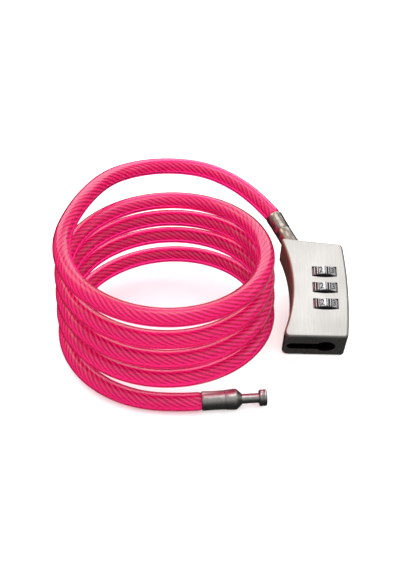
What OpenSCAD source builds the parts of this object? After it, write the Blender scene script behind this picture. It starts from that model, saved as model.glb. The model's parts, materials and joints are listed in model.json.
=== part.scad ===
// Cable luggage lock: a three-dial combination body on a self-coiling jacketed steel cable.
// The lock leans back on the edge of its keyhole end and its cable holds the other end up.
// Row frame: +Z up, z = 0 is the table, and the origin is under the middle of the lock body.
// The lock's own frame: x across the face, y from the keyhole end, z from the rear to the face.

/* [Lock body] */
// Length of the body along its left side
lock_l = 45.4; // [44:0.2:48]
// How much shorter the right side is, which slants the top end
top_drop = 2.6; // [1:0.2:4]
// Thickness of the body from rear to face
lock_t = 15; // [15:0.5:18]
// Lean of the body from the table, in degrees
lock_pitch = 18; // [10:1:25]
// Radius of the rounded corners
corner_r = 1.6; // [0.8:0.1:2]

/* [Dials] */
// Radius of each number dial
dial_r = 7.4; // [7.2:0.05:7.45]
// Width of each number dial
dial_w = 3.7; // [3.4:0.1:3.9]
// Distance from one dial to the next
dial_pitch = 7.35; // [7.2:0.05:7.4]
// Height of the dial axis above the rear face
dial_axis_z = 9; // [8.9:0.1:9.2]

/* [Keyhole] */
// Radius of the round entry
hole_r = 3.8; // [3.6:0.1:3.9]
// Width of the narrow slot
slot_w = 4.5; // [4.1:0.1:4.8]
// Wall thickness at the keyhole end
end_wall = 2.2; // [2:0.1:2.4]

/* [Cable] */
// Diameter of the jacketed cable
cord_d = 6.8; // [6:0.1:7]
// Radius of the coil at the middle of the cable
coil_r = 39; // [38:0.5:40]
// Rise of the cable in each turn
coil_rise = 8.8; // [8:0.2:9]

/* [Hidden] */
$fn = 64;
eps = 0.01;

// Colours
satin_metal = [0.88, 0.86, 0.83];
steel = [0.62, 0.62, 0.64];
dark_steel = [0.42, 0.42, 0.44];
brass = [0.78, 0.62, 0.32];
dial_grey = [0.72, 0.73, 0.76];
jacket_pink = [0.87, 0.10, 0.38];

// Body outline: two side arcs, a square keyhole end and a slanted top end
left_arc_r = 60;
left_arc_x = -9;
left_arc_y = 22.9;
right_arc_r = 185;
right_arc_x = 12.9;
right_arc_y = 21;
body_left = left_side(0);
body_right = right_side(lock_l - top_drop);
cover_t = 1.2;
cover_inset = 1.2;
cover_gap = 0.05;
lock_y0 = -(lock_l * cos(lock_pitch) - lock_t * sin(lock_pitch)) / 2;

// Dials, code rings and their pockets
dial_x = 3.8;
dial_y = [for (i = [0 : 2]) 14.7 + dial_pitch * i];
pocket_r = dial_r + 0.35;
pocket_w = 4.5;
flute_r = 0.45;
digits = 10;
ring_r = 4.6;
ring_fit = 0.02;
shaft_r = 1.5;
shaft_fit = 0.06;
gate_r = 3.1;
gate_w = 1.7;
window_bulge = 0.45;
bulge_r = 22.7;

// Keyhole and the chamber behind it
hole_z = 7.2;
slot_end_x = -11.2;
chamber_y = 7.4;
chamber_half = 4.2;

// Spindle: locking plug, shaft, fins and the bore for the guide pin
plug_r = 3.4;
plug_y = [3, 8.5];
saddle_y = [chamber_y, 9.2];
saddle_half = 4.4;
shaft_end_y = 33;
shaft_bore_r = 0.85;
shaft_bore_l = 5.6;
fin_w = 1.4;
fin_r = 2.9;
fin_l = 0.8;
fin_back = 4.5;
slot_half = 3.5;

// Return spring and its bush
bush_y = [40.2, 41.4];
bush_half = 2.6;
guide_pin_r = 0.7;
guide_pin_y = 32;
spring_wire = 0.45;
spring_r = 1.35;
spring_coils = 8;

// Detent spring: a comb of three fingers along the left of the dials
detent_y = [12.6, 31.6];
detent_t = 0.3;
finger_w = 2.4;

// Cable anchor: a ferrule that leaves the top left corner at an angle
anchor_x = -7.5;
anchor_y = 45.3;
anchor_turn = 26;
anchor_in = 8;
anchor_out = 17.5;
anchor_r = 3.6;
anchor_fit = 0.05;
cross_pin_r = 0.8;
rope_r = 1.5;
rope_bore_r = 1.55;

// Cover screws: x and y of each one in the rear face
screw_at = [[-6.6, 10.4], [-1.2, 35.2], [9.2, 38.2], [10, 9.6]];
screw_r = 0.8;
screw_head_r = 1.3;
screw_l = 5;

// Coil: a loop computes its turns, and its solid is the space they fill
coil_x = -58.5;
coil_y = -7.5;
coil_turns = 4.3;
coil_lift = 2.7;
coil_top_lift = 6;
coil_taper = 0.4;
coil_lean = 0.55;
coil_mid = 2.2;
coil_inner = 34.2;
coil_outer = 43.8;
coil_top = 46.2;
coil_top_x = -0.1;
coil_top_y = -0.03;
tail_notch = 8.2;

// Tail: from the coil's foot to the pin's ferrule
tail_x = -43.4;
tail_y = -48.2;
pin_turn = 6;
ferrule_l = 8.6;
ferrule_r = 3.6;
collar_l = 4.3;
collar_r = 3.9;
cone_l = 2;
cone_r = 2;
neck_l = 6.4;
neck_r = 1.8;
head_l = 2.8;
head_r = 3.1;
head_edge = 0.35;
shank_l = 5;

// Route of the lead between the coil's top turn and the anchor ferrule
lead_points = [[-93.5, 11, 47], [-91.5, 17, 47], [-87.5, 28, 46], [-82, 38.5, 44],
    [-74.5, 47, 41.5], [-65.5, 53.5, 39], [-55.5, 57.5, 36.5], [-45, 58, 34.5],
    [-35, 55, 32], [-26, 49, 29.5], [-18.5, 41, 27]];
tube_sides = 12;
lead_steps = 2;

// Where the body's left and right sides stand at a given length
function left_side(y) = left_arc_x - left_arc_r + sqrt(left_arc_r * left_arc_r - pow(y - left_arc_y, 2));
function right_side(y) = right_arc_x - right_arc_r + sqrt(right_arc_r * right_arc_r - pow(y - right_arc_y, 2));

// Smooth step from 0 to 1
function ease(t) = let (u = min(max(t, 0), 1)) u * u * (3 - 2 * u);

// Middle of the cable after t turns from the foot of the coil, clockwise from the front
function coil_point(t) = let (
    r = coil_r - coil_taper * (t - coil_mid),
    a = -90 - 360 * t,
    z = cord_d / 2 + coil_rise * t + coil_lift * ease((t - 0.1) / 0.9)
        + coil_top_lift * ease((t - 3.7) / 1.2)
) [coil_x + r * cos(a), coil_y + r * sin(a) + coil_lean * (t - coil_mid), z];

// A point of the lock's own frame in the row frame
function lock_point(p) = [p.x,
    lock_y0 + p.y * cos(lock_pitch) - p.z * sin(lock_pitch),
    p.y * sin(lock_pitch) + p.z * cos(lock_pitch)];

function unit(v) = v / norm(v);

// Catmull-Rom curve through a list of points, with a few steps in each span
function spline_at(p, i, t) = let (
    a = p[max(i - 1, 0)], b = p[i], c = p[i + 1], d = p[min(i + 2, len(p) - 1)]
) 0.5 * (2 * b + (c - a) * t + (2 * a - 5 * b + 4 * c - d) * t * t
    + (3 * b - a - 3 * c + d) * t * t * t);
function spline(p, steps) = concat(
    [for (i = [0 : len(p) - 2], s = [0 : steps - 1]) spline_at(p, i, s / steps)],
    [p[len(p) - 1]]);

// Direction of a path at ring i, with given directions at its two ends
function path_dir(p, i, first, last) =
    i == 0 ? first : i == len(p) - 1 ? last : unit(p[i + 1] - p[i - 1]);

// One round tube along a path
module tube(p, r, first, last) {
    n = tube_sides;
    m = len(p);
    rings = [for (i = [0 : m - 1]) let (
        d = path_dir(p, i, first, last),
        side = unit(cross([0, 0, 1], d)),
        up = cross(d, side)
    ) for (k = [0 : n - 1]) p[i] + r * (cos(360 * k / n) * side + sin(360 * k / n) * up)];
    walls = [for (i = [0 : m - 2], k = [0 : n - 1]) let (a = i * n + k, b = i * n + (k + 1) % n)
        each [[a, a + n, b + n], [a, b + n, b]]];
    caps = [[for (k = [0 : n - 1]) k], [for (k = [n - 1 : -1 : 0]) (m - 1) * n + k]];
    polyhedron(rings, concat(walls, caps), convexity = 8);
}

module on_lock() {
    translate([0, lock_y0, 0])
        rotate([lock_pitch, 0, 0])
            children();
}

// A cylinder along the lock's length, from one y to another
module along_lock(x, z, r, y0, y1, r2 = -1) {
    translate([x, y0, z])
        rotate([-90, 0, 0])
            cylinder(h = y1 - y0, r1 = r, r2 = r2 < 0 ? r : r2);
}

module box(low, high) {
    translate(low)
        cube(high - low);
}

// Flat outline of the body, drawn in by an inset
module outline(inset = 0) {
    slant = atan2(-top_drop, body_right - body_left);
    difference() {
        intersection() {
            translate([body_left - 1, inset])
                square([40, 60]);
            translate([right_arc_x - right_arc_r, right_arc_y])
                circle(r = right_arc_r - inset, $fn = 256);
            translate([body_left, lock_l - inset])
                rotate(slant)
                    translate([-5, -60])
                        square([50, 60]);
        }
        translate([left_arc_x - left_arc_r, left_arc_y])
            circle(r = left_arc_r + inset, $fn = 256);
    }
}

// The waste outside a rounded corner, whose point is at the origin
module corner_waste(r) {
    difference() {
        translate([-1, -1])
            square(r + 1);
        translate([r, r])
            circle(r = r);
    }
}

module rounded_outline() {
    difference() {
        outline();
        translate([body_left, 0])
            corner_waste(corner_r + 0.4);
        translate([right_side(0), 0])
            rotate(90)
                corner_waste(corner_r);
        translate([body_right, lock_l - top_drop])
            rotate(178)
                corner_waste(corner_r + 0.5);
        translate([left_side(lock_l), lock_l - 0.15])
            rotate(-96)
                corner_waste(corner_r - 0.5);
    }
}

module window_cut(y) {
    along_lock(dial_x, dial_axis_z, pocket_r, y - pocket_w / 2, y + pocket_w / 2);
    box([dial_x - pocket_r, y - pocket_w / 2, -1], [dial_x + pocket_r, y + pocket_w / 2, dial_axis_z]);
    // shallow scoop that bows the window's lower edge
    intersection() {
        translate([dial_x, y - pocket_w / 2 - window_bulge + bulge_r, lock_t - 1])
            cylinder(h = 2, r = bulge_r, $fn = 256);
        box([dial_x - 4.4, y - pocket_w / 2 - 1, lock_t - 1], [dial_x + 4.4, y, lock_t + 1]);
    }
}

module keyhole_cut() {
    along_lock(dial_x, hole_z, hole_r, -1, end_wall + eps);
    along_lock(slot_end_x + slot_w / 2, hole_z, slot_w / 2, -1, end_wall + eps);
    box([slot_end_x + slot_w / 2, -1, hole_z - slot_w / 2], [dial_x, end_wall + eps, hole_z + slot_w / 2]);
    // chamber for the pin's head, as wide as the side wall allows
    intersection() {
        box([body_left, end_wall, -1], [dial_x + chamber_half, chamber_y, hole_z + chamber_half]);
        translate([0, 0, -1])
            linear_extrude(2 * lock_t)
                outline(cover_inset);
    }
}

// Axis of the anchor ferrule: children run along +Z, outwards, from the body's top edge
module on_anchor() {
    translate([anchor_x, anchor_y, hole_z])
        rotate([0, 0, anchor_turn])
            rotate([-90, 0, 0])
                children();
}

module front_case() {
    color(satin_metal)
        on_lock()
            difference() {
                linear_extrude(lock_t)
                    rounded_outline();
                translate([0, 0, -1])
                    linear_extrude(1 + cover_t)
                        outline(cover_inset);
                for (y = dial_y)
                    window_cut(y);
                keyhole_cut();
                // room for the spindle and its fins, open to the rear
                along_lock(dial_x, dial_axis_z, slot_half, saddle_y[1], shaft_end_y);
                box([dial_x - slot_half, saddle_y[1], -1], [dial_x + slot_half, shaft_end_y, dial_axis_z]);
                // seat of the plug and its saddle
                along_lock(dial_x, hole_z, plug_r + 0.1, chamber_y - eps, saddle_y[1] + eps);
                box([dial_x - saddle_half, chamber_y - eps, -1],
                    [dial_x + saddle_half, saddle_y[1] + eps, hole_z]);
                // return spring well and the bush's seat
                box([dial_x - bush_half + 0.6, shaft_end_y - eps, -1],
                    [dial_x + bush_half - 0.6, bush_y[1], dial_axis_z + 2]);
                box([dial_x - bush_half - 0.05, bush_y[0] - 0.05, -1],
                    [dial_x + bush_half + 0.05, bush_y[1] + 0.05, dial_axis_z + bush_half + 0.05]);
                // detent spring pocket
                box([-7, detent_y[0] - 0.2, -1], [-2.6, detent_y[1] + 0.2, 12]);
                on_anchor()
                    translate([0, 0, -anchor_in - 0.1])
                        cylinder(h = 30, r = anchor_r + anchor_fit);
                anchor_pin_place()
                    cylinder(h = 12.5, r = cross_pin_r + 0.02);
                for (s = screw_at)
                    translate([s.x, s.y, -1])
                        cylinder(h = 1 + cover_t + screw_l, r = screw_r + 0.02);
            }
}

// Cross pin through the tail of the anchor ferrule, driven in from the rear
module anchor_pin_place() {
    on_anchor()
        translate([0, -hole_z + cover_t + 0.1, -anchor_in + 3.5])
            rotate([-90, 0, 0])
                children();
}

module rear_cover() {
    color(steel)
        on_lock()
            difference() {
                linear_extrude(cover_t - cover_gap)
                    outline(cover_inset + cover_gap);
                for (s = screw_at)
                    translate([s.x, s.y, -eps])
                        cylinder(h = cover_t, r1 = screw_head_r + 0.05, r2 = screw_r + 0.05);
            }
}

// Four small countersunk screws as one group
module cover_screws() {
    color(dark_steel)
        on_lock()
            for (s = screw_at)
                translate([s.x, s.y, 0.05])
                    difference() {
                        union() {
                            cylinder(h = cover_t - 0.1, r1 = screw_head_r, r2 = screw_r);
                            cylinder(h = cover_t + screw_l - 0.4, r = screw_r);
                        }
                        box([-1, -0.15, -1], [1, 0.15, 0.4]);
                        box([-0.15, -1, -1], [0.15, 1, 0.4]);
                    }
}

// Number dial: a drum with a groove between one digit and the next
module dial(y) {
    color(dial_grey)
        on_lock()
            difference() {
                along_lock(dial_x, dial_axis_z, dial_r, y - dial_w / 2, y + dial_w / 2);
                along_lock(dial_x, dial_axis_z, ring_r + ring_fit, y - dial_w, y + dial_w);
                for (k = [0 : digits - 1])
                    translate([dial_x, y - dial_w, dial_axis_z])
                        rotate([0, 9 + 36 * k, 0])
                            translate([0, 0, dial_r + flute_r / 2])
                                rotate([-90, 0, 0])
                                    cylinder(h = 2 * dial_w, r = flute_r, $fn = 24);
            }
}

// Code ring: turns with its dial and lets a fin through only at its gate
module code_ring(y) {
    color(brass)
        on_lock()
            difference() {
                along_lock(dial_x, dial_axis_z, ring_r, y - dial_w / 2, y + dial_w / 2);
                along_lock(dial_x, dial_axis_z, shaft_r + shaft_fit, y - dial_w, y + dial_w);
                box([dial_x - gate_w / 2, y - dial_w, dial_axis_z],
                    [dial_x + gate_w / 2, y + dial_w, dial_axis_z + gate_r]);
                // shallow gates on both faces, where a picked spindle would catch
                for (a = [108, 216])
                    translate([dial_x, y, dial_axis_z])
                        rotate([0, a, 0])
                            box([-gate_w / 2, -dial_w, 0], [gate_w / 2, -dial_w / 2 + 0.5, gate_r]);
            }
}

module detent_spring() {
    color(steel)
        on_lock() {
            box([-6.6, detent_y[0], 2.4], [-6.6 + detent_t, detent_y[1], 4.6]);
            for (y = dial_y)
                translate([0, y + finger_w / 2, 0])
                    rotate([90, 0, 0])
                        linear_extrude(finger_w)
                            polygon([[-6.6, 4.5], [-6.6 + detent_t, 4.5], [-4.3, 7], [-3.75, 7.85],
                                [-4.2, 8.65], [-4.9, 9.75], [-5.15, 9.6], [-4.5, 8.5],
                                [-4.12, 7.85], [-4.6, 7.15]]);
        }
}

module spindle() {
    color(steel)
        on_lock()
            difference() {
                union() {
                    along_lock(dial_x, hole_z, plug_r - 1, plug_y[0], plug_y[0] + 1, plug_r);
                    along_lock(dial_x, hole_z, plug_r, plug_y[0] + 1, plug_y[1]);
                    along_lock(dial_x, dial_axis_z, shaft_r, plug_y[1] - 1, shaft_end_y);
                    for (y = dial_y)
                        box([dial_x - fin_w / 2, y - fin_back - fin_l, dial_axis_z],
                            [dial_x + fin_w / 2, y - fin_back, dial_axis_z + fin_r]);
                }
                along_lock(dial_x, dial_axis_z, shaft_bore_r, shaft_end_y - shaft_bore_l, shaft_end_y + 1);
            }
}

// Return spring: a stack of rings stands for its coils
module spindle_spring() {
    length = bush_y[0] - shaft_end_y;
    pitch = (length - spring_wire) / (spring_coils - 1);
    color(dark_steel)
        on_lock()
            for (i = [0 : spring_coils - 1])
                translate([dial_x, shaft_end_y + spring_wire / 2 + pitch * i, dial_axis_z])
                    rotate([-90, 0, 0])
                        rotate_extrude($fn = 48)
                            translate([spring_r, 0])
                                circle(d = spring_wire - 0.02, $fn = 16);
}

module spring_bush() {
    color(brass)
        on_lock() {
            box([dial_x - bush_half, bush_y[0], cover_t + 0.1],
                [dial_x + bush_half, bush_y[1], dial_axis_z + bush_half]);
            along_lock(dial_x, dial_axis_z, guide_pin_r, guide_pin_y, bush_y[0] + eps);
        }
}

// Block that closes the rear of the plug's guide
module plug_saddle() {
    color(dark_steel)
        on_lock()
            difference() {
                box([dial_x - saddle_half + 0.05, saddle_y[0], cover_t + 0.1],
                    [dial_x + saddle_half - 0.05, saddle_y[1], hole_z - 0.05]);
                along_lock(dial_x, hole_z, plug_r + 0.1, saddle_y[0] - 1, saddle_y[1] + 1);
            }
}

module anchor_ferrule() {
    color(steel)
        on_lock()
            difference() {
                on_anchor()
                    difference() {
                        translate([0, 0, -anchor_in])
                            cylinder(h = anchor_in + anchor_out, r = anchor_r);
                        translate([0, 0, anchor_out - 12])
                            cylinder(h = 13, r = rope_bore_r);
                        translate([0, 0, 9])
                            difference() {
                                cylinder(h = 0.8, r = anchor_r + 1);
                                translate([0, 0, -eps])
                                    cylinder(h = 1, r = anchor_r - 0.25);
                            }
                    }
                anchor_pin_place()
                    cylinder(h = 12.5, r = cross_pin_r + 0.02);
            }
}

module anchor_pin() {
    color(dark_steel)
        on_lock()
            anchor_pin_place()
                cylinder(h = 11.8, r = cross_pin_r);
}

module anchor_rope_end() {
    color(steel)
        on_lock()
            on_anchor()
                translate([0, 0, anchor_out - 11.9])
                    cylinder(h = 11.85, r = rope_r);
}

// Lead: one tube from the coil's top turn down to the anchor ferrule
module cable_lead() {
    first = coil_point(coil_turns);
    last = lock_point([anchor_x - anchor_out * sin(anchor_turn),
        anchor_y + anchor_out * cos(anchor_turn), hole_z]);
    inward = unit(lock_point([sin(anchor_turn), -cos(anchor_turn), 0]) - lock_point([0, 0, 0]));
    color(jacket_pink)
        tube(spline(concat([first], lead_points, [last]), lead_steps), cord_d / 2,
            unit(first - coil_point(coil_turns - 0.01)), inward);
}

// Coil: the closed outer shape that the turns fill, with a foot cut away for the tail
module cable_coil() {
    far = 2 * coil_outer;
    color(jacket_pink)
        translate([coil_x, coil_y, 0])
            difference() {
                rotate_extrude($fn = 128)
                    translate([coil_inner, 0])
                        square([coil_outer - coil_inner, 1.3 * coil_top]);
                // slanted top, higher on the left where the lead rises away
                translate([0, 0, coil_top])
                    rotate([atan(coil_top_y), atan(-coil_top_x), 0])
                        translate([-far, -far, 0])
                            cube([2 * far, 2 * far, coil_top]);
                box([0, -far, -1], [far, 0, tail_notch]);
            }
}

// Axis of the pin: children run along +X from the end of the cable
module on_pin() {
    translate([tail_x, tail_y, collar_r])
        rotate([0, 0, pin_turn])
            rotate([0, 90, 0])
                children();
}

module cable_tail() {
    first = [coil_x, coil_point(0).y, cord_d / 2];
    last = [tail_x, tail_y, collar_r];
    color(jacket_pink)
        tube([first, first + [5, 0.05, 0.1], last - 5 * [cos(pin_turn), sin(pin_turn), 0.02], last],
            cord_d / 2, [1, 0, 0], [cos(pin_turn), sin(pin_turn), 0]);
}

module pin_rope_end() {
    color(steel)
        on_pin()
            translate([0, 0, 0.05])
                cylinder(h = 7.5, r = rope_r);
}

module pin_ferrule() {
    color(steel)
        on_pin()
            difference() {
                union() {
                    cylinder(h = ferrule_l, r = ferrule_r);
                    translate([0, 0, ferrule_l])
                        cylinder(h = collar_l, r = collar_r);
                    translate([0, 0, ferrule_l + collar_l])
                        cylinder(h = cone_l, r1 = collar_r, r2 = cone_r, $fn = 96);
                }
                translate([0, 0, -1])
                    cylinder(h = 8.7, r = rope_bore_r);
                translate([0, 0, ferrule_l + collar_l + cone_l - shank_l - 0.1])
                    cylinder(h = shank_l + 1, r = neck_r + 0.02);
            }
}

// Locking pin: shank in the ferrule, neck that rides in the slot, and head
module locking_pin() {
    neck_end = ferrule_l + collar_l + cone_l + neck_l;
    color(steel)
        on_pin() {
            translate([0, 0, neck_end - neck_l - shank_l])
                cylinder(h = shank_l + neck_l + eps, r = neck_r);
            translate([0, 0, neck_end])
                cylinder(h = head_edge, r1 = head_r - head_edge, r2 = head_r, $fn = 96);
            translate([0, 0, neck_end + head_edge])
                cylinder(h = head_l - 2 * head_edge, r = head_r);
            translate([0, 0, neck_end + head_l - head_edge])
                cylinder(h = head_edge, r1 = head_r, r2 = head_r - head_edge, $fn = 96);
        }
}

front_case();
rear_cover();
cover_screws();
dial(dial_y[0]);  // dial_1
dial(dial_y[1]);  // dial_2
dial(dial_y[2]);  // dial_3
code_ring(dial_y[0]);  // code_ring_1
code_ring(dial_y[1]);  // code_ring_2
code_ring(dial_y[2]);  // code_ring_3
detent_spring();
spindle();
spindle_spring();
spring_bush();
plug_saddle();
anchor_ferrule();
anchor_pin();
anchor_rope_end();
cable_lead();
cable_coil();
cable_tail();
pin_rope_end();
pin_ferrule();
locking_pin();
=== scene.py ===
import json
import math

import bmesh
import bpy
import numpy as np
from mathutils import Matrix, Vector


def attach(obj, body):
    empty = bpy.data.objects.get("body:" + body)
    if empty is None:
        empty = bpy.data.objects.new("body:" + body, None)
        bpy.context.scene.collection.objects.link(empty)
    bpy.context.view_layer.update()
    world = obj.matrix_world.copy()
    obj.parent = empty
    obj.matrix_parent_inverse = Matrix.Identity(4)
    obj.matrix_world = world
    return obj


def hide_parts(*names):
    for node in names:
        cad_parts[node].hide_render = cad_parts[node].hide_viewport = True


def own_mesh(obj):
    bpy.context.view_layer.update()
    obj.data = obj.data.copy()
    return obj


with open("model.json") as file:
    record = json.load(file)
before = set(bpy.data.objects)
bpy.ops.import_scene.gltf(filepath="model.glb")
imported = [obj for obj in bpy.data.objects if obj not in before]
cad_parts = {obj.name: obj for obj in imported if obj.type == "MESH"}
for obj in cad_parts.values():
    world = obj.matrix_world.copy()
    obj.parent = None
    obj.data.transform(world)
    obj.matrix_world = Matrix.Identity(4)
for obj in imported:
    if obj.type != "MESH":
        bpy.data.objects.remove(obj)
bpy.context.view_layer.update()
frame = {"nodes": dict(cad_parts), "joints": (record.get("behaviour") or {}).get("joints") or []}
MM = 0.001
TAU = 2 * math.pi
scene = bpy.context.scene

# ---------------------------------------------------------------- camera
CAMERA_AT = Vector((-0.0375, -0.2603, 0.2448))
CAMERA_DOWN = math.radians(41)
CAMERA_YAW = math.radians(-1.73)
SENSOR_W, LENS, NEAREST = 36, 54.76, 0.01
camera_data = bpy.data.cameras.new("camera")
camera_data.sensor_width = SENSOR_W
camera_data.lens = LENS
camera_data.clip_start = NEAREST
camera = bpy.data.objects.new("camera", camera_data)
scene.collection.objects.link(camera)
camera.location = CAMERA_AT
camera_forward = Vector((
    math.sin(CAMERA_YAW) * math.cos(CAMERA_DOWN),
    math.cos(CAMERA_YAW) * math.cos(CAMERA_DOWN),
    -math.sin(CAMERA_DOWN),
))
camera.rotation_euler = camera_forward.to_track_quat("-Z", "Y").to_euler()
scene.camera = camera
scene.view_settings.view_transform = "Standard"

# ---------------------------------------------------------------- the lock's own frame, in mm
# x across the face, y from the keyhole end, z from the rear to the face
DIAL_X, DIAL_Z = 3.8, 9.0
DIAL_Y = (14.7, 22.05, 29.4)
dial_joint = next(j for j in frame["joints"] if j["name"] == "dial_1_turn")
dial_axis = Vector(dial_joint["axis"])
LOCK_PITCH = math.atan2(dial_axis.z, dial_axis.y)
turn = Matrix.Rotation(LOCK_PITCH, 4, "X")
lock_origin = Vector(dial_joint["pos_m"]) - (turn @ Vector((DIAL_X, DIAL_Y[0], DIAL_Z))) * MM
LOCK = Matrix.Translation(lock_origin) @ turn @ Matrix.Scale(MM, 4)

# ---------------------------------------------------------------- cable route, as in part.scad
CORD_R_MM = 3.4
CORD_R = CORD_R_MM * MM
COIL_X, COIL_Y, COIL_R = -58.5, -7.5, 39.0
COIL_TURNS, COIL_RISE, COIL_MID = 4.3, 8.8, 2.2
COIL_LIFT, COIL_TOP_LIFT, COIL_TAPER, COIL_LEAN = 2.7, 6.0, 0.4, 0.55
# turns at which each extra rise begins, and the turns it takes
LIFT_FROM, LIFT_OVER = 0.1, 0.9
TOP_LIFT_FROM, TOP_LIFT_OVER = 3.7, 1.2
POINTS_PER_TURN = 60
LEAD_STEPS, TAIL_STEPS = 12, 8
ROUTE_STEP = 0.55
ROUTE_SOFTNESS = 7
LEAD_POINTS = [
    (-93.5, 11, 47), (-91.5, 17, 47), (-87.5, 28, 46), (-82, 38.5, 44), (-74.5, 47, 41.5),
    (-65.5, 53.5, 39), (-55.5, 57.5, 36.5), (-45, 58, 34.5), (-35, 55, 32), (-26, 49, 29.5),
    (-18.5, 41, 27),
]
ANCHOR_X, ANCHOR_Y, ANCHOR_Z = -7.5, 45.3, 7.2
ANCHOR_TURN = math.radians(26)
ANCHOR_OUT, ANCHOR_IN = 17.5, 8.0
PIN_TURN = math.radians(6)
TAIL_END = (-43.4, -48.2, 3.9)


def ease(t):
    """0 to 1 as t goes from 0 to 1, level at both ends."""
    u = min(max(t, 0), 1)
    return u * u * (3 - 2 * u)


def coil_point(t):
    """The coil's centre line, t turns from its foot, in mm."""
    r = COIL_R - COIL_TAPER * (t - COIL_MID)
    a = -math.pi / 2 - TAU * t
    z = (CORD_R_MM + COIL_RISE * t + COIL_LIFT * ease((t - LIFT_FROM) / LIFT_OVER)
         + COIL_TOP_LIFT * ease((t - TOP_LIFT_FROM) / TOP_LIFT_OVER))
    return (COIL_X + r * math.cos(a), COIL_Y + r * math.sin(a) + COIL_LEAN * (t - COIL_MID), z)


anchor_end = LOCK @ Vector((
    ANCHOR_X - ANCHOR_OUT * math.sin(ANCHOR_TURN),
    ANCHOR_Y + ANCHOR_OUT * math.cos(ANCHOR_TURN),
    ANCHOR_Z,
))
anchor_dir = (LOCK.to_3x3() @ Vector((-math.sin(ANCHOR_TURN), math.cos(ANCHOR_TURN), 0))).normalized()
pin_dir = Vector((math.cos(PIN_TURN), math.sin(PIN_TURN), 0))
tail_end = Vector(TAIL_END) * MM


def even_path(points, step):
    """The same line with its points an even step apart, by arc length."""
    p = np.array(points, float)
    s = np.concatenate([[0], np.cumsum(np.linalg.norm(np.diff(p, axis=0), axis=1))])
    n = max(int(round(s[-1] / step)), 2)
    t = np.linspace(0, s[-1], n + 1)
    return np.stack([np.interp(t, s, p[:, k]) for k in range(3)], axis=1)


def smoothed(path, reach):
    """A path softened over a few points, with both ends kept where they are."""
    k = np.exp(-0.5 * (np.arange(-3 * reach, 3 * reach + 1) / reach) ** 2)
    k /= k.sum()
    pad = 3 * reach
    head = 2 * path[0] - path[1:pad + 1][::-1]
    tail = 2 * path[-1] - path[-pad - 1:-1][::-1]
    whole = np.concatenate([head, path, tail])
    return np.stack([np.convolve(whole[:, c], k, mode="valid") for c in range(3)], axis=1)


def catmull(points, steps):
    """A smooth line through the points, with this many steps from each to the next."""
    p = [np.array(q, float) for q in points]
    out = []
    for i in range(len(p) - 1):
        a, b, c, d = p[max(i - 1, 0)], p[i], p[i + 1], p[min(i + 2, len(p) - 1)]
        for s in range(steps):
            t = s / steps
            out.append(0.5 * (2 * b + (c - a) * t + (2 * a - 5 * b + 4 * c - d) * t * t
                              + (3 * b - a - 3 * c + d) * t ** 3))
    return out + [p[-1]]


coil_steps = round(COIL_TURNS * POINTS_PER_TURN)
coil = [coil_point(COIL_TURNS * k / coil_steps) for k in range(coil_steps, -1, -1)]
lead = catmull([tuple(anchor_end / MM)] + LEAD_POINTS[::-1] + [coil[0]], LEAD_STEPS)
tail_points = [coil[-1], (COIL_X + 5, coil[-1][1] + 0.05, 3.5),
               tuple(Vector(TAIL_END) - 5 * pin_dir - Vector((0, 0, 0.1))), TAIL_END]
route = lead[:-1] + [np.array(q) for q in coil[:-1]] + catmull(tail_points, TAIL_STEPS)
route = smoothed(even_path(route, ROUTE_STEP), ROUTE_SOFTNESS) * MM
route[0], route[-1] = anchor_end, tail_end


# ---------------------------------------------------------------- mesh helpers
def add_mesh(name, verts, faces, materials, smooth=True, matrix=None, indices=None):
    mesh = bpy.data.meshes.new(name)
    mesh.from_pydata([tuple(v) for v in verts], [], [tuple(int(i) for i in f) for f in faces])
    for m in materials:
        mesh.materials.append(m)
    if matrix is not None:
        mesh.transform(matrix)
    mesh.update()
    if smooth:
        mesh.shade_smooth()
    if indices is not None:
        mesh.polygons.foreach_set("material_index", np.array(indices, np.int32))
    piece = bpy.data.objects.new(name, mesh)
    scene.collection.objects.link(piece)
    return piece


def band(first, second, n):
    """Quads between two rings of n points, given the first point of each ring."""
    return [(first + k, first + (k + 1) % n, second + (k + 1) % n, second + k) for k in range(n)]


def apply_modifiers(piece):
    bpy.context.view_layer.update()
    evaluated = piece.evaluated_get(bpy.context.evaluated_depsgraph_get())
    mesh = bpy.data.meshes.new_from_object(evaluated)
    piece.modifiers.clear()
    piece.data = mesh


def path_frames(path):
    """Tangent, normal and binormal at each point, carried along with no twist."""
    tangent = np.gradient(path, axis=0)
    tangent /= np.linalg.norm(tangent, axis=1)[:, None]
    normal = np.zeros_like(path)
    start = np.cross(tangent[0], (0, 0, 1))
    normal[0] = start / np.linalg.norm(start)
    for i in range(1, len(path)):
        n = normal[i - 1] - tangent[i] * np.dot(normal[i - 1], tangent[i])
        normal[i] = n / np.linalg.norm(n)
    return tangent, normal, np.cross(tangent, normal)


def swept(name, path, radii, materials):
    """A tube along path. radii[i, k] is the radius of ring i at its k-th corner."""
    rings, sides = radii.shape
    _, normal, binormal = path_frames(path)
    a = TAU * np.arange(sides) / sides
    verts = (path[:, None, :] + radii[:, :, None] * (
        np.cos(a)[None, :, None] * normal[:, None, :] + np.sin(a)[None, :, None] * binormal[:, None, :]))
    i, k = np.meshgrid(np.arange(rings - 1), np.arange(sides), indexing="ij")
    j = (k + 1) % sides
    quads = np.stack([i * sides + k, i * sides + j, (i + 1) * sides + j, (i + 1) * sides + k], axis=-1)
    faces = quads.reshape(-1, 4).tolist()
    faces.append(list(range(sides))[::-1])
    faces.append([(rings - 1) * sides + c for c in range(sides)])
    return add_mesh(name, verts.reshape(-1, 3), faces, materials)


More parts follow.
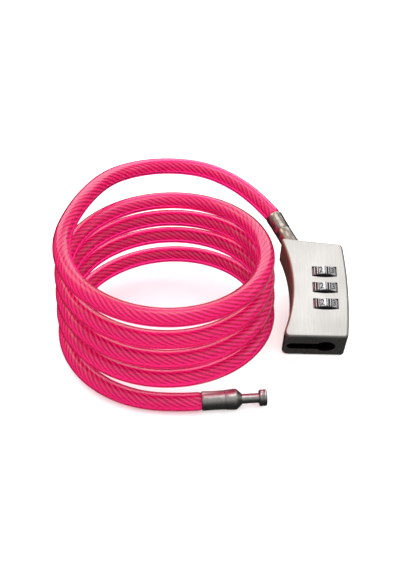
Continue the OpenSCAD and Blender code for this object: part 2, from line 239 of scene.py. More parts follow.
def lathe(name, profile, materials, matrix, sides=96, wobble=None):
    """A turned piece: profile is (distance along +Z, radius) in mm, closed to the axis at both ends."""
    verts, faces = [], []
    for z, r in profile:
        for k in range(sides):
            a = TAU * k / sides
            rr = r + (wobble(z, a) if wobble else 0)
            verts.append((rr * math.cos(a), rr * math.sin(a), z))
    for i in range(len(profile) - 1):
        faces += band(i * sides, (i + 1) * sides, sides)
    last = (len(profile) - 1) * sides
    faces.append(tuple(range(sides))[::-1])
    faces.append(tuple(last + k for k in range(sides)))
    piece = add_mesh(name, verts, faces, materials, matrix=matrix)
    mark_sharp(piece, 40)
    return piece


def mark_sharp(piece, degrees):
    """Smooth shading with a crease wherever two faces meet at more than the given angle."""
    bm = bmesh.new()
    bm.from_mesh(piece.data)
    limit = math.radians(degrees)
    for e in bm.edges:
        e.smooth = len(e.link_faces) == 2 and e.calc_face_angle(0) < limit
    for f in bm.faces:
        f.smooth = True
    bm.to_mesh(piece.data)
    bm.free()


def weigh_normals(piece):
    """Shade broad flat faces flat, and keep the round edges beside them smooth."""
    modifier = piece.modifiers.new("weigh", "WEIGHTED_NORMAL")
    modifier.mode = "FACE_AREA"
    modifier.weight = 100
    modifier.keep_sharp = True
    apply_modifiers(piece)


# ---------------------------------------------------------------- materials
def new_material(name):
    m = bpy.data.materials.new(name)
    m.use_nodes = True
    nt = m.node_tree
    return m, nt, nt.nodes["Principled BSDF"]


def noise(nt, scale, detail=3, stretch=(1, 1, 1), rough=0.5, turned=(0, 0, 0)):
    coords = nt.nodes.new("ShaderNodeTexCoord")
    mapping = nt.nodes.new("ShaderNodeMapping")
    mapping.inputs["Scale"].default_value = stretch
    mapping.inputs["Rotation"].default_value = turned
    texture = nt.nodes.new("ShaderNodeTexNoise")
    texture.inputs["Scale"].default_value = scale
    texture.inputs["Detail"].default_value = detail
    texture.inputs["Roughness"].default_value = rough
    nt.links.new(coords.outputs["Object"], mapping.inputs["Vector"])
    nt.links.new(mapping.outputs["Vector"], texture.inputs["Vector"])
    return texture.outputs["Fac"]


def ramp(nt, source, stops):
    node = nt.nodes.new("ShaderNodeValToRGB")
    elements = node.color_ramp.elements
    while len(elements) < len(stops):
        elements.new(0.5)
    for e, (at, colour) in zip(elements, stops):
        e.position = at
        e.color = (*colour, 1)
    nt.links.new(source, node.inputs["Fac"])
    return node.outputs["Color"]


def remap(nt, source, low, high, from_low=0.3, from_high=0.7):
    node = nt.nodes.new("ShaderNodeMapRange")
    node.inputs["From Min"].default_value = from_low
    node.inputs["From Max"].default_value = from_high
    node.inputs["To Min"].default_value = low
    node.inputs["To Max"].default_value = high
    nt.links.new(source, node.inputs["Value"])
    return node.outputs["Result"]


def bump(nt, bsdf, source, distance):
    node = nt.nodes.new("ShaderNodeBump")
    node.inputs["Distance"].default_value = distance
    node.inputs["Strength"].default_value = 1.0
    nt.links.new(source, node.inputs["Height"])
    nt.links.new(node.outputs["Normal"], bsdf.inputs["Normal"])


def metal(name, dark, light, rough, scale, brushed=False, depth=0.00001, metallic=1.0):
    """Metal between two colours, with fine grain that is drawn out along the lock if brushed."""
    m, nt, bsdf = new_material(name)
    stretch, turned = (BRUSH_STRETCH, (-LOCK_PITCH, 0, 0)) if brushed else ((1, 1, 1), (0, 0, 0))
    grain = noise(nt, scale, 4, stretch, 0.6, turned)
    cloud = noise(nt, CLOUD_SCALE, 3)
    nt.links.new(ramp(nt, grain, [(0.3, dark), (0.7, light)]), bsdf.inputs["Base Color"])
    nt.links.new(remap(nt, cloud, *rough), bsdf.inputs["Roughness"])
    bsdf.inputs["Metallic"].default_value = metallic
    bump(nt, bsdf, grain, depth)
    return m


BRUSH_STRETCH = (1.0, 0.05, 0.05)
CLOUD_SCALE = 60
face_metal = metal("face_metal", (0.57, 0.555, 0.532), (0.64, 0.623, 0.598), (0.36, 0.44), 2600,
                   brushed=True, depth=0.000004)
# the side and the end are copies of the face's metal in tones of their own: painted shade on the side,
# darker and browner, painted light on the end, lighter than the face
side_shade_metal = metal("side_shade_metal", (0.46, 0.4, 0.29), (0.62, 0.54, 0.42), (0.5, 0.64), 900)
end_light_metal = metal("end_light_metal", (0.74, 0.74, 0.69), (0.92, 0.92, 0.86), (0.45, 0.6), 900)
# near black: painted shade for the hollow, the dial pockets and the keyhole
cavity_shade = metal("cavity_shade_paint", (0.012, 0.012, 0.012), (0.03, 0.03, 0.03), (0.5, 0.7), 700)
ferrule_metal = metal("ferrule_metal", (0.34, 0.29, 0.25), (0.54, 0.48, 0.43), (0.24, 0.36), 500,
                      depth=0.00002)
pin_metal = metal("pin_metal", (0.55, 0.53, 0.5), (0.75, 0.73, 0.7), (0.26, 0.42), 700)
dial_metal = metal("dial_metal", (0.5, 0.51, 0.53), (0.72, 0.73, 0.75), (0.22, 0.3), 800, metallic=0.8)
# near black: print for the digits, and painted shade in the flutes, in the fine grooves and on the
# drum's ends
dial_print_and_shade = metal("dial_print_and_shade", (0.012, 0.013, 0.016), (0.03, 0.032, 0.036), (0.5, 0.65), 800,
                  metallic=0.0)
steel_inner = metal("inner_steel", (0.3, 0.3, 0.31), (0.5, 0.5, 0.5), (0.3, 0.45), 600)
brass_inner = metal("inner_brass", (0.5, 0.36, 0.14), (0.72, 0.55, 0.26), (0.25, 0.4), 600)
cover_metal = metal("cover_metal", (0.4, 0.39, 0.37), (0.56, 0.55, 0.53), (0.35, 0.5), 1800,
                    brushed=True)

# rope: painted highlight on the crests of its wires, painted shade, deep pink, in the grooves
rope_metal, nt, bsdf = new_material("rope_metal")
glint_and_shade = nt.nodes.new("ShaderNodeAttribute")
glint_and_shade.attribute_name = "glint_and_shade"
nt.links.new(ramp(nt, glint_and_shade.outputs["Fac"], [(0.0, (0.46, 0.0, 0.14)), (0.45, (0.7, 0.03, 0.24)),
                                             (0.8, (1, 0.75, 0.9)), (1.0, (1, 1, 1))]),
             bsdf.inputs["Base Color"])
nt.links.new(remap(nt, noise(nt, 900, 3), 0.25, 0.4), bsdf.inputs["Roughness"])
bsdf.inputs["Metallic"].default_value = 0.1

# jacket: clear glossy vinyl, coloured through its depth
jacket_vinyl, nt, bsdf = new_material("jacket_vinyl")
bsdf.inputs["Base Color"].default_value = (0.95, 0.05, 0.33, 1)
bsdf.inputs["Transmission Weight"].default_value = 0.88
bsdf.inputs["IOR"].default_value = 1.5
nt.links.new(remap(nt, noise(nt, 90, 4), 0.13, 0.19), bsdf.inputs["Roughness"])
bsdf.inputs["Coat Weight"].default_value = 0.4
bsdf.inputs["Coat IOR"].default_value = 1.45
bsdf.inputs["Coat Roughness"].default_value = 0.2
absorb = nt.nodes.new("ShaderNodeVolumeAbsorption")
absorb.inputs["Color"].default_value = (0.93, 0.0, 0.5, 1)
absorb.inputs["Density"].default_value = 180
nt.links.new(absorb.outputs["Volume"], nt.nodes["Material Output"].inputs["Volume"])

# ---------------------------------------------------------------- cable: jacket and twisted rope
JACKET_SIDES = 56
END_ROUNDING = (0.35, 0.12, 0.03)
jacket_radii = np.full((len(route), JACKET_SIDES), CORD_R)
for k, inset in enumerate(END_ROUNDING):
    jacket_radii[k] -= inset * MM
    jacket_radii[-1 - k] -= inset * MM
jacket = swept("cable_jacket", route, jacket_radii, [jacket_vinyl])

ROPE_R = 1.42
STRANDS = 6
PER_STRAND = 16
LAY_LENGTH = 17.5
WIRE_RELIEF = 0.03
IN_ANCHOR, IN_PIN = (11.8, 0.2), (0.5, 7.4)
into_anchor = [anchor_end - anchor_dir * MM * d for d in np.arange(*IN_ANCHOR, -ROUTE_STEP)]
into_pin = [tail_end + pin_dir * MM * d for d in np.arange(*IN_PIN, ROUTE_STEP)]
rope_path = np.concatenate([np.array(into_anchor), route, np.array(into_pin)])
strand_r = ROPE_R * math.sin(math.pi / STRANDS) / (1 + math.sin(math.pi / STRANDS))
strand_at = ROPE_R - strand_r
along = np.concatenate([[0], np.cumsum(np.linalg.norm(np.diff(rope_path, axis=0), axis=1))]) / MM
angle = TAU * np.arange(STRANDS * PER_STRAND) / (STRANDS * PER_STRAND)
phase = angle[None, :] - TAU * along[:, None] / LAY_LENGTH
local = (phase * STRANDS / TAU) % 1 - 0.5
delta = local * TAU / STRANDS
lobe = strand_at * np.cos(delta) + np.sqrt(
    np.maximum(strand_r ** 2 - (strand_at * np.sin(delta)) ** 2, 0))
wires = np.abs(np.cos(3 * math.pi * local))
rope = swept("cable_rope", rope_path, (lobe + WIRE_RELIEF * wires) * MM, [rope_metal])
# how near each point is to a crest, carrying the rope's painted highlight on the crests and painted
# shade in the grooves
glint_and_shade_at = np.clip(1 - (2 * np.abs(local)) ** 2 * 1.1, 0, 1) * (0.72 + 0.28 * wires)
glint_and_shade_data = rope.data.attributes.new("glint_and_shade", "FLOAT", "POINT")
glint_and_shade_data.data.foreach_set("value", glint_and_shade_at.astype(np.float32).ravel())

# ---------------------------------------------------------------- anchor ferrule
on_anchor = (LOCK @ Matrix.Translation((ANCHOR_X, ANCHOR_Y, ANCHOR_Z))
             @ Matrix.Rotation(ANCHOR_TURN, 4, "Z") @ Matrix.Rotation(-math.pi / 2, 4, "X"))


CRIMP_LOW, CRIMP_HIGH, CRIMP_FADE = 2.6, 15.8, 1.2
CRIMP_DEPTH, CRIMP_JAWS = 0.07, 6


def crimp(z, a):
    """Shallow press marks of the crimping tool, between two heights."""
    inside = ease((z - CRIMP_LOW) / CRIMP_FADE) * ease((CRIMP_HIGH - z) / CRIMP_FADE)
    return -CRIMP_DEPTH * inside * (0.5 - 0.5 * math.cos(CRIMP_JAWS * a))


anchor_profile = [(-ANCHOR_IN, 3.3), (-ANCHOR_IN + 0.3, 3.6), (0.2, 3.6), (2.4, 3.6), (2.7, 3.56),
                  (4, 3.52), (6, 3.5), (8.6, 3.5), (8.9, 3.36), (9.2, 3.34), (9.5, 3.48),
                  (9.8, 3.56), (12, 3.56), (14, 3.56), (15.8, 3.6), (16.2, 3.62), (16.9, 3.62),
                  (17.3, 3.56), (17.5, 3.42), (17.5, 1.6)]
anchor = lathe("anchor_ferrule_turned", anchor_profile, [ferrule_metal], on_anchor, wobble=crimp)

# ---------------------------------------------------------------- pin ferrule and pin
on_pin = (Matrix.Translation(tail_end) @ Matrix.Rotation(PIN_TURN, 4, "Z")
          @ Matrix.Rotation(math.pi / 2, 4, "Y") @ Matrix.Scale(MM, 4))
ferrule_profile = [(0, 1.6), (0, 3.2), (0.15, 3.4), (0.45, 3.55), (0.8, 3.58), (2.5, 3.5),
                   (5, 3.46), (7, 3.5), (8.3, 3.58), (8.5, 3.56), (8.6, 3.48), (8.7, 3.48),
                   (8.8, 3.6), (9.0, 3.66), (10.5, 3.74), (12.2, 3.84), (12.7, 3.84), (12.95, 3.76),
                   (13.15, 3.6), (14.6, 2.3), (14.8, 2.12), (14.9, 1.9)]
pin_ferrule = lathe("pin_ferrule_turned", ferrule_profile, [pin_metal], on_pin)
NECK = 14.9
pin_profile = [(NECK - 3, 1.2), (NECK - 2.9, 1.8), (NECK + 0.1, 1.8), (NECK + 6.1, 1.8),
               (NECK + 6.3, 1.86), (NECK + 6.4, 2.0), (NECK + 6.4, 2.55), (NECK + 6.45, 2.8),
               (NECK + 6.6, 2.98), (NECK + 6.8, 3.05), (NECK + 7.5, 3.05), (NECK + 7.65, 2.94),
               (NECK + 7.9, 2.92), (NECK + 8.05, 3.05), (NECK + 8.8, 3.08), (NECK + 9.0, 2.98),
               (NECK + 9.14, 2.8), (NECK + 9.2, 2.55), (NECK + 9.2, 0.6)]
pin = lathe("locking_pin_turned", pin_profile, [pin_metal], on_pin)

# ---------------------------------------------------------------- lock body
BODY_L, TOP_DROP, BODY_T = 45.4, 2.6, 15.0
LEFT_ARC = (-9.0, 22.9, 60.0)
RIGHT_ARC = (12.9, 21.0, 185.0)
# corner radii, and the heights that the sides' points keep clear of the corners
RIGHT_BOTTOM_R, RIGHT_TOP_R, LEFT_TOP_R, LEFT_BOTTOM_R = 1.6, 2.1, 1.1, 2.0
RIGHT_CLEAR, LEFT_CLEAR = (1.8, 4.2), (2.4, 4.6)
LEFT_TOP_DROP = 0.15
SIDE_STEPS = 40
# body and window sizes in mm
END_WALL, FACE_WALL, SIDE_WALL = 2.2, 1.6, 1.2
EDGE_R, EDGE_STEPS = 1.0, 6
REAR_R, REAR_STEPS = 0.45, 4
POCKET_R, POCKET_W, WINDOW_BULGE, BULGE_HALF = 7.75, 4.5, 0.45, 4.9
HOLE_Z, HOLE_R, SLOT_W, SLOT_END = 7.2, 3.8, 4.5, -11.2
ANCHOR_BORE_R = 3.66


def side_x(arc, y):
    """X of a side at height y; an arc is its X at the middle, its middle's Y and its radius."""
    x, yc, r = arc
    return x - r + math.sqrt(r * r - (y - yc) ** 2)


def fillet(corner, before_dir, after_dir, r, steps=10):
    """Points of a round corner between two directions that meet at a corner."""
    d1, d2 = Vector(before_dir).normalized(), Vector(after_dir).normalized()
    phi = d1.angle(d2)
    t = r * math.tan(phi / 2)
    start = Vector(corner) - d1 * t
    inward = Vector((-d1.y, d1.x))
    centre = start + inward * r
    first = math.atan2(start.y - centre.y, start.x - centre.x)
    angles = [first + phi * k / steps for k in range(steps + 1)]
    return [(centre.x + r * math.cos(a), centre.y + r * math.sin(a)) for a in angles]


def body_outline():
    """The body's outline, anticlockwise seen from the face, in mm."""
    right_top, left_top = BODY_L - TOP_DROP, BODY_L - LEFT_TOP_DROP
    left_bottom = (side_x(LEFT_ARC, 0), 0)
    right_bottom = (side_x(RIGHT_ARC, 0), 0)
    right_corner = (side_x(RIGHT_ARC, right_top), right_top)
    left_corner = (side_x(LEFT_ARC, left_top), left_top)

    def arc_dir(arc, y):
        x, yc, r = arc
        return (-(y - yc) / math.sqrt(r * r - (y - yc) ** 2), 1)

    up_r0, up_r1 = arc_dir(RIGHT_ARC, 0), arc_dir(RIGHT_ARC, right_top)
    down_l1 = tuple(-c for c in arc_dir(LEFT_ARC, left_top))
    down_l0 = tuple(-c for c in arc_dir(LEFT_ARC, 0))
    across = (left_corner[0] - right_corner[0], left_corner[1] - right_corner[1])
    points = fillet(right_bottom, (1, 0), up_r0, RIGHT_BOTTOM_R)
    for k in range(1, SIDE_STEPS):
        y = RIGHT_CLEAR[0] + (right_top - RIGHT_CLEAR[1]) * k / SIDE_STEPS
        points.append((side_x(RIGHT_ARC, y), y))
    points += fillet(right_corner, up_r1, across, RIGHT_TOP_R)
    points += fillet(left_corner, across, down_l1, LEFT_TOP_R)
    for k in range(SIDE_STEPS - 1, 0, -1):
        y = LEFT_CLEAR[0] + (left_top - LEFT_CLEAR[1]) * k / SIDE_STEPS
        points.append((side_x(LEFT_ARC, y), y))
    points += fillet(left_bottom, down_l0, (1, 0), LEFT_BOTTOM_R)
    return np.array(points)


def inset_outline(points, distance):
    ahead = np.roll(points, -1, axis=0) - np.roll(points, 1, axis=0)
    ahead /= np.linalg.norm(ahead, axis=1)[:, None]
    return points + distance * np.stack([-ahead[:, 1], ahead[:, 0]], axis=1)


def prism(rings):
    """A closed solid from stacked rings of equal length."""
    n = len(rings[0])
    verts = np.concatenate(rings).tolist()
    faces = []
    for i in range(len(rings) - 1):
        faces += band(i * n, (i + 1) * n, n)
    faces.append(tuple(range(n))[::-1])
    faces.append(tuple((len(rings) - 1) * n + k for k in range(n)))
    return verts, faces


def ring_at(points, distance, z):
    """The outline drawn in by a distance, at height z."""
    p = inset_outline(points, distance)
    return np.column_stack([p, np.full(len(p), z)])


outline = body_outline()
rings = []
for k in range(REAR_STEPS + 1):
    a = math.pi / 2 * k / REAR_STEPS
    rings.append(ring_at(outline, REAR_R * (1 - math.sin(a)), REAR_R * (1 - math.cos(a))))
for k in range(EDGE_STEPS + 1):
    a = math.pi / 2 * k / EDGE_STEPS
    rings.append(ring_at(outline, EDGE_R * (1 - math.cos(a)), BODY_T - EDGE_R + EDGE_R * math.sin(a)))
body_verts, body_faces = prism(rings)
FACE_SLOT, SIDE_SHADE_SLOT, END_LIGHT_SLOT, CAVITY_SHADE_SLOT = range(4)
body = add_mesh("lock_body", body_verts, body_faces, [face_metal, side_shade_metal, end_light_metal, cavity_shade],
                smooth=False)


def cutter(name, verts, faces):
    """A solid that cut_with takes away, with its faces turned outwards."""
    piece = add_mesh(name, verts, faces, [], smooth=False)
    bm = bmesh.new()
    bm.from_mesh(piece.data)
    bmesh.ops.recalc_face_normals(bm, faces=bm.faces)
    bm.to_mesh(piece.data)
    bm.free()
    return piece


def cut_with(piece, tools):
    for tool in tools:
        modifier = piece.modifiers.new(tool.name, "BOOLEAN")
        modifier.operation = "DIFFERENCE"
        modifier.solver = "EXACT"
        modifier.object = tool
    apply_modifiers(piece)
    for tool in tools:
        bpy.data.objects.remove(tool)


def rod(x, z, r, y0, y1, sides=64):
    """A round cutter along the lock's length."""
    rings = []
    for y in (y0, y1):
        a = TAU * np.arange(sides) / sides
        rings.append(np.column_stack([x + r * np.cos(a), np.full(sides, y), z + r * np.sin(a)]))
    return prism(rings)


def window_cutter(y):
    """A drum-shaped pocket whose lower side bows outwards in the middle."""
    steps, thinnest = 48, 0.02
    verts, faces = [], []
    for k in range(steps + 1):
        x = -POCKET_R * math.cos(math.pi * k / steps)
        h = math.sqrt(max(POCKET_R ** 2 - x * x, thinnest ** 2))
        low = y - POCKET_W / 2 - WINDOW_BULGE * max(1 - (x / BULGE_HALF) ** 2, 0)
        verts += [(DIAL_X + x, low, DIAL_Z - h), (DIAL_X + x, y + POCKET_W / 2, DIAL_Z - h),
                  (DIAL_X + x, y + POCKET_W / 2, DIAL_Z + h), (DIAL_X + x, low, DIAL_Z + h)]
    for k in range(steps):
        faces += band(4 * k, 4 * k + 4, 4)
    faces.append((0, 1, 2, 3))
    faces.append(tuple(4 * steps + c for c in (3, 2, 1, 0)))
    return verts, faces


def slot_shape(x0, x1, z, r, y0, y1, steps=16):
    """A long round-ended hole along the lock's length."""
    ring = [(x1 - r + r * math.sin(math.pi * k / steps), z - r * math.cos(math.pi * k / steps))
            for k in range(steps + 1)]
    ring += [(x0 + r - r * math.sin(math.pi * k / steps), z + r * math.cos(math.pi * k / steps))
             for k in range(steps + 1)]
    return prism([np.array([(x, y, zz) for x, zz in ring]) for y in (y0, y1)])


hollow_outline = [(x, max(y, END_WALL)) for x, y in inset_outline(outline, SIDE_WALL + 0.2)]
hollow = prism([np.array([(x, y, z) for x, y in hollow_outline]) for z in (1.1, BODY_T - FACE_WALL)])
rear_recess = prism([ring_at(outline, SIDE_WALL, z) for z in (-1.0, 1.2)])
tools = [cutter("cut_hollow", *hollow), cutter("cut_rear", *rear_recess)]
tools += [cutter(f"cut_window_{i}", *window_cutter(y)) for i, y in enumerate(DIAL_Y)]
tools.append(cutter("cut_hole", *rod(DIAL_X, HOLE_Z, HOLE_R, -1, END_WALL + 0.5)))
tools.append(cutter("cut_slot", *slot_shape(SLOT_END, DIAL_X, HOLE_Z, SLOT_W / 2, -1.3, END_WALL + 0.7)))
bore_a = TAU * np.arange(48) / 48
bore_ring = np.column_stack([ANCHOR_BORE_R * np.cos(bore_a), ANCHOR_BORE_R * np.sin(bore_a), 0 * bore_a])
bore = cutter("cut_bore", *prism([bore_ring + (0, 0, z) for z in (-9.0, 9.0)]))
bore.data.transform(LOCK.inverted() @ on_anchor)
tools.append(bore)
cut_with(body, tools)

# ease the edges of the windows and the keyhole, then give each face its colour: painted shade near black
# in the hollow, the dial pockets and the keyhole, painted shade on the side and painted light on the end
EASED, CREASE = 0.12, math.radians(35)
KEYHOLE_MID_X, KEYHOLE_HALF_W, KEYHOLE_HALF_H = -3, 14, 4.5
NEAR_X, NEAR_Y, DRUM_X = 7, 0.7, 6.6
LIP, POCKET_DEPTH = 0.13, 2
INSIDE_X, INSIDE_LOW, INSIDE_HIGH = 0.8, 1.9, 43
bm = bmesh.new()
bm.from_mesh(body.data)
bmesh.ops.remove_doubles(bm, verts=bm.verts, dist=0.002)
crisp = []
for e in bm.edges:
    if len(e.link_faces) != 2 or e.calc_face_angle(0) < CREASE:
        continue
    a, b = e.verts[0].co, e.verts[1].co
    on_face = min(a.z, b.z) > BODY_T - 0.01
    on_end = max(a.y, b.y) < 0.01 and min(a.z, b.z) > 2 and max(a.z, b.z) < 12
    if on_face or on_end:
        crisp.append(e)
bmesh.ops.bevel(bm, geom=crisp, offset=EASED, segments=2, profile=0.5, affect="EDGES",
                clamp_overlap=True)
for f in bm.faces:
    c, n = f.calc_center_median(), f.normal
    depth = BODY_T - c.z
    near_window = (any(abs(c.y - y) < POCKET_W / 2 + NEAR_Y for y in DIAL_Y)
                   and abs(c.x - DIAL_X) < NEAR_X)
    in_pocket = (near_window and LIP < depth < POCKET_DEPTH and n.z < 0.9
                 and abs(c.x - DIAL_X) < DRUM_X)
    in_keyhole = (abs(c.x - KEYHOLE_MID_X) < KEYHOLE_HALF_W and abs(c.z - HOLE_Z) < KEYHOLE_HALF_H
                  and c.y < END_WALL and abs(n.y) < 0.5)
    inner = (c.z < BODY_T - FACE_WALL + 0.01 and c.z > 1.0 and INSIDE_LOW < c.y < INSIDE_HIGH
             and side_x(LEFT_ARC, c.y) + INSIDE_X < c.x < side_x(RIGHT_ARC, c.y) - INSIDE_X)
    # the hollow, the dial pockets and the keyhole get painted shade, near black
    if inner or in_pocket or in_keyhole:
        f.material_index = CAVITY_SHADE_SLOT
    elif n.z > (0.97 if n.x < -0.1 else 0.75):
        f.material_index = FACE_SLOT
    # the end gets painted light and the side painted shade
    elif n.y < -0.6:
        f.material_index = END_LIGHT_SLOT
    elif n.x < -0.3 or (n.x < -0.1 and n.z > 0.3):
        f.material_index = SIDE_SHADE_SLOT
    else:
        f.material_index = FACE_SLOT
bm.to_mesh(body.data)
bm.free()
mark_sharp(body, 32)
weigh_normals(body)
body.data.transform(LOCK)

# ---------------------------------------------------------------- dials
DIAL_R, DIAL_W, DIGITS = 7.4, 3.7, 10
RING_R = 4.62
FIRST_FLUTE, FIRST_DIGIT, DIGIT_STEP = math.radians(9), -83, 36
FLUTE_HALF, FLUTE_DEPTH, FLUTE_SHADE = 0.42, 0.5, 0.36
LINE_AT, LINE_HALF, LINE_DEPTH, LINE_SHADE = 0.95, 0.2, 0.22, 0.17
RIM_W, RIM_DROP = 0.3, 0.16
DIGIT_H, DIGIT_WEIGHT, DIGIT_LIFT = 3.6, 0.045, 0.012
AROUND, ACROSS = 480, 14
HUB = ((6.6, 0.0), (6.45, 0.12), (RING_R + 0.5, 0.12), (RING_R + 0.35, 0.0), (RING_R, 0.0))
METAL_SLOT, DRUM_SHADE_SLOT, DIGIT_SLOT = range(3)


def from_flute(a):
    """Distance round the drum from the middle of the nearest flute, in mm."""
    step = TAU / DIGITS
    return abs(((a - FIRST_FLUTE + step / 2) % step) - step / 2) * DIAL_R


def dial_radius(a, y):
    """Outside of the drum: a flute between digits, with a fine groove on each side of it."""
    off = from_flute(a)
    groove = -FLUTE_DEPTH * max(0, 1 - (off / FLUTE_HALF) ** 2)
    rim = -RIM_DROP * ease((abs(y) - (DIAL_W / 2 - RIM_W)) / RIM_W)
    line = -LINE_DEPTH * max(0, 1 - ((off - LINE_AT) / LINE_HALF) ** 2)
    return DIAL_R + groove + rim + line


def drum_point(r, a, y):
    return (DIAL_X + r * math.sin(a), y, DIAL_Z + r * math.cos(a))


def digit_mesh(digit):
    """A digit's points and triangles, flat, like paint. Its caller bends it round the drum."""
    curve = bpy.data.curves.new("digit", "FONT")
    curve.body = str(digit)
    curve.align_x = "CENTER"
    curve.size = DIGIT_H
    curve.resolution_u = 4
    curve.offset = DIGIT_WEIGHT
    carrier = bpy.data.objects.new("digit", curve)
    scene.collection.objects.link(carrier)
    bpy.context.view_layer.update()
    evaluated = carrier.evaluated_get(bpy.context.evaluated_depsgraph_get())
    mesh = bpy.data.meshes.new_from_object(evaluated)
    bpy.data.objects.remove(carrier)
    bm = bmesh.new()
    bm.from_mesh(mesh)
    bmesh.ops.remove_doubles(bm, verts=bm.verts, dist=0.0005)
    bmesh.ops.triangulate(bm, faces=bm.faces)
    bmesh.ops.subdivide_edges(bm, edges=[e for e in bm.edges if e.calc_length() > 0.5], cuts=1)
    bmesh.ops.triangulate(bm, faces=bm.faces)
    co = np.array([v.co[:] for v in bm.verts])
    faces = [[v.index for v in f.verts] for f in bm.faces]
    bm.free()
    return co - (co.min(0) + co.max(0)) / 2, faces


def make_dial(index, y0):
    verts, faces, indices = [], [], []
    angles = [TAU * k / AROUND for k in range(AROUND)]
    for i in range(ACROSS + 1):
        y = -DIAL_W / 2 + DIAL_W * i / ACROSS
        verts += [drum_point(dial_radius(a, y), a, y0 + y) for a in angles]
    # the flutes and the fine grooves beside them get painted shade, near black
    painted = []
    for k in range(AROUND):
        off = from_flute(TAU * (k + 0.5) / AROUND)
        dark = off < FLUTE_SHADE or abs(off - LINE_AT) < LINE_SHADE
        painted.append(DRUM_SHADE_SLOT if dark else METAL_SLOT)
    for i in range(ACROSS):
        faces += band(i * AROUND, (i + 1) * AROUND, AROUND)
        indices += painted
    # flat end faces with a stepped hub, in painted shade, near black, then the bore
    bore_rings = []
    for y, previous, flip in ((-DIAL_W / 2, 0, True), (DIAL_W / 2, ACROSS * AROUND, False)):
        for r, dy in HUB:
            start = len(verts)
            verts += [drum_point(r, a, y0 + y - math.copysign(dy, y)) for a in angles]
            faces += [quad if flip else quad[::-1] for quad in band(previous, start, AROUND)]
            indices += [DRUM_SHADE_SLOT] * AROUND
            previous = start
        bore_rings.append(previous)
    faces += [quad[::-1] for quad in band(*bore_rings, AROUND)]
    indices += [METAL_SLOT] * AROUND
    for d in range(DIGITS):
        centre = math.radians(FIRST_DIGIT + DIGIT_STEP * d)
        points, triangles = digit_mesh(d)
        start = len(verts)
        verts += [drum_point(DIAL_R + DIGIT_LIFT, centre + x / DIAL_R, y0 + y) for x, y, _ in points]
        faces += [tuple(start + v for v in t) for t in triangles]
        indices += [DIGIT_SLOT] * len(triangles)
    piece = add_mesh(f"number_dial_{index}", verts, faces, [dial_metal, dial_print_and_shade, dial_print_and_shade],
                     matrix=LOCK, indices=indices)
    mark_sharp(piece, 45)
    return piece


dials = [make_dial(i + 1, y) for i, y in enumerate(DIAL_Y)]

# ---------------------------------------------------------------- return spring
SPRING_Y = (33.0, 40.2)
SPRING_R, SPRING_WIRE, SPRING_TURNS = 1.35, 0.43, 8
FLAT_TURNS, STEPS_PER_TURN, WIRE_SIDES = 0.8, 28, 14
turns = np.linspace(0, SPRING_TURNS, SPRING_TURNS * STEPS_PER_TURN + 1)
# the first and last turns lie flat
climb = np.clip((turns - FLAT_TURNS) / (SPRING_TURNS - 2 * FLAT_TURNS), 0, 1)
spring_y = SPRING_Y[0] + SPRING_WIRE / 2 + (SPRING_Y[1] - SPRING_Y[0] - SPRING_WIRE) * climb
spring_path = np.array([
    LOCK @ Vector((DIAL_X + SPRING_R * math.cos(TAU * t), y, DIAL_Z + SPRING_R * math.sin(TAU * t)))
    for t, y in zip(turns, spring_y)])
spring_radii = np.full((len(turns), WIRE_SIDES), SPRING_WIRE / 2 * MM)
spring = swept("return_spring", spring_path, spring_radii, [steel_inner])

# ---------------------------------------------------------------- carried-over CAD nodes
for name, material in (
    ("rear_cover", cover_metal), ("cover_screws", steel_inner), ("code_ring_1", brass_inner),
    ("code_ring_2", brass_inner), ("code_ring_3", brass_inner), ("detent_spring", steel_inner),
    ("spindle", steel_inner), ("spring_bush", brass_inner),
    ("plug_saddle", steel_inner), ("anchor_pin", steel_inner),
):
    node = frame["nodes"][name]
    node.data.materials.clear()
    node.data.materials.append(material)

# ---------------------------------------------------------------- floor and light
floor_material, nt, bsdf = new_material("floor_paper")
nt.links.new(ramp(nt, noise(nt, 30, 4), [(0.3, (0.87, 0.87, 0.87)), (0.7, (0.89, 0.89, 0.89))]),
             bsdf.inputs["Base Color"])
bsdf.inputs["Roughness"].default_value = 0.9
bsdf.inputs["Specular IOR Level"].default_value = 0.1
FLOOR_HALF, FLOOR_Z = 3, -0.0003
floor_corners = [(x * FLOOR_HALF, y * FLOOR_HALF, FLOOR_Z)
                 for x, y in ((-1, -1), (1, -1), (1, 1), (-1, 1))]
floor = add_mesh("floor", floor_corners, [(0, 1, 2, 3)], [floor_material], smooth=False)

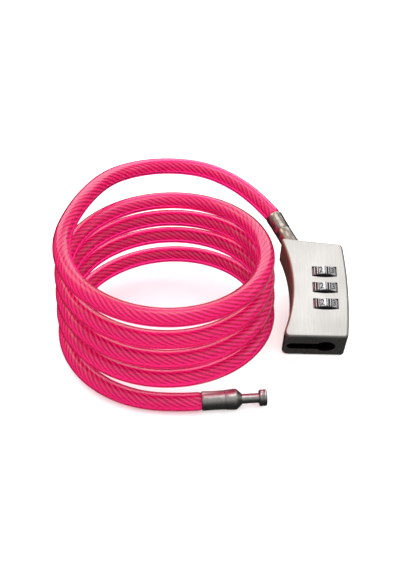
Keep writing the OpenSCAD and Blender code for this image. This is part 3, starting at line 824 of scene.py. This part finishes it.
# The sky lights matt surfaces with SKY_FILL, is dimmer where gloss mirrors it, and shows as BACKDROP.
world = bpy.data.worlds.new("studio")
scene.world = world
world.use_nodes = True
SKY_FILL = 2.15
BACKDROP = 3.2
wt = world.node_tree
direction = wt.nodes.new("ShaderNodeTexCoord")
split = wt.nodes.new("ShaderNodeSeparateXYZ")
wt.links.new(direction.outputs["Generated"], split.inputs["Vector"])
height = remap(wt, split.outputs["Z"], 0, 1, -0.1, 0.9)
sky = ramp(wt, height, [(0.0, (0.3, 0.3, 0.3)), (0.12, (0.4, 0.4, 0.4)), (0.3, (1, 1, 1))])
mirrored = ramp(wt, height, [(0.0, (0.08, 0.08, 0.08)), (0.4, (0.14, 0.14, 0.14)),
                             (0.85, (0.42, 0.42, 0.42))])
wt.links.new(sky, wt.nodes["Background"].inputs["Color"])
kind = wt.nodes.new("ShaderNodeLightPath")
strength = remap(wt, kind.outputs["Diffuse Depth"], 0, SKY_FILL, 0, 1)
wt.links.new(mirrored, strength.node.inputs["To Min"])
shown = remap(wt, kind.outputs["Is Camera Ray"], 0, BACKDROP, 0, 1)
wt.links.new(strength, shown.node.inputs["To Min"])
wt.links.new(shown, wt.nodes["Background"].inputs["Strength"])
floor.visible_glossy = False


def softbox(name, at, size, power, colour=(1, 1, 1)):
    """A rectangular light that faces the middle of the object."""
    data = bpy.data.lights.new(name, "AREA")
    data.shape = "RECTANGLE"
    data.size, data.size_y = size
    data.energy = power
    data.color = colour
    light = bpy.data.objects.new(name, data)
    scene.collection.objects.link(light)
    light.location = at
    light.rotation_euler = (Vector(MIDDLE) - Vector(at)).to_track_quat("-Z", "Y").to_euler()


MIDDLE = (-0.035, 0, 0.02)
softbox("back_box", (-0.12, 0.87, 0.5), (1.5, 0.6), 5.0)
softbox("top_box", (0.05, 0.12, 0.9), (0.4, 0.5), 1.2)
softbox("right_box", (0.85, 0.15, 0.45), (0.4, 0.4), 0.35)
softbox("warm_box", (-0.45, 0.25, 0.62), (0.3, 0.3), 0.8, (1, 0.7, 0.5))

# ---------------------------------------------------------------- what rides on what
for piece, slot, nodes in (
    (body, "case_metal", ["front_case"]),
    (anchor, "ferrule_steel", ["anchor_ferrule"]),
    (pin_ferrule, "pin_steel", ["pin_ferrule"]),
    (pin, "pin_steel", ["locking_pin"]),
    (rope, "rope_steel", ["anchor_rope_end", "pin_rope_end"]),
    (jacket, "cable_jacket", ["cable_lead", "cable_coil", "cable_tail"]),
    (spring, "spring_steel", ["spindle_spring"]),
):
    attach(piece, "case")
    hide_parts(*nodes)
for i, piece in enumerate(dials):
    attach(piece, f"dial_{i + 1}")
    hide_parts(f"dial_{i + 1}")

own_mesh(spring)
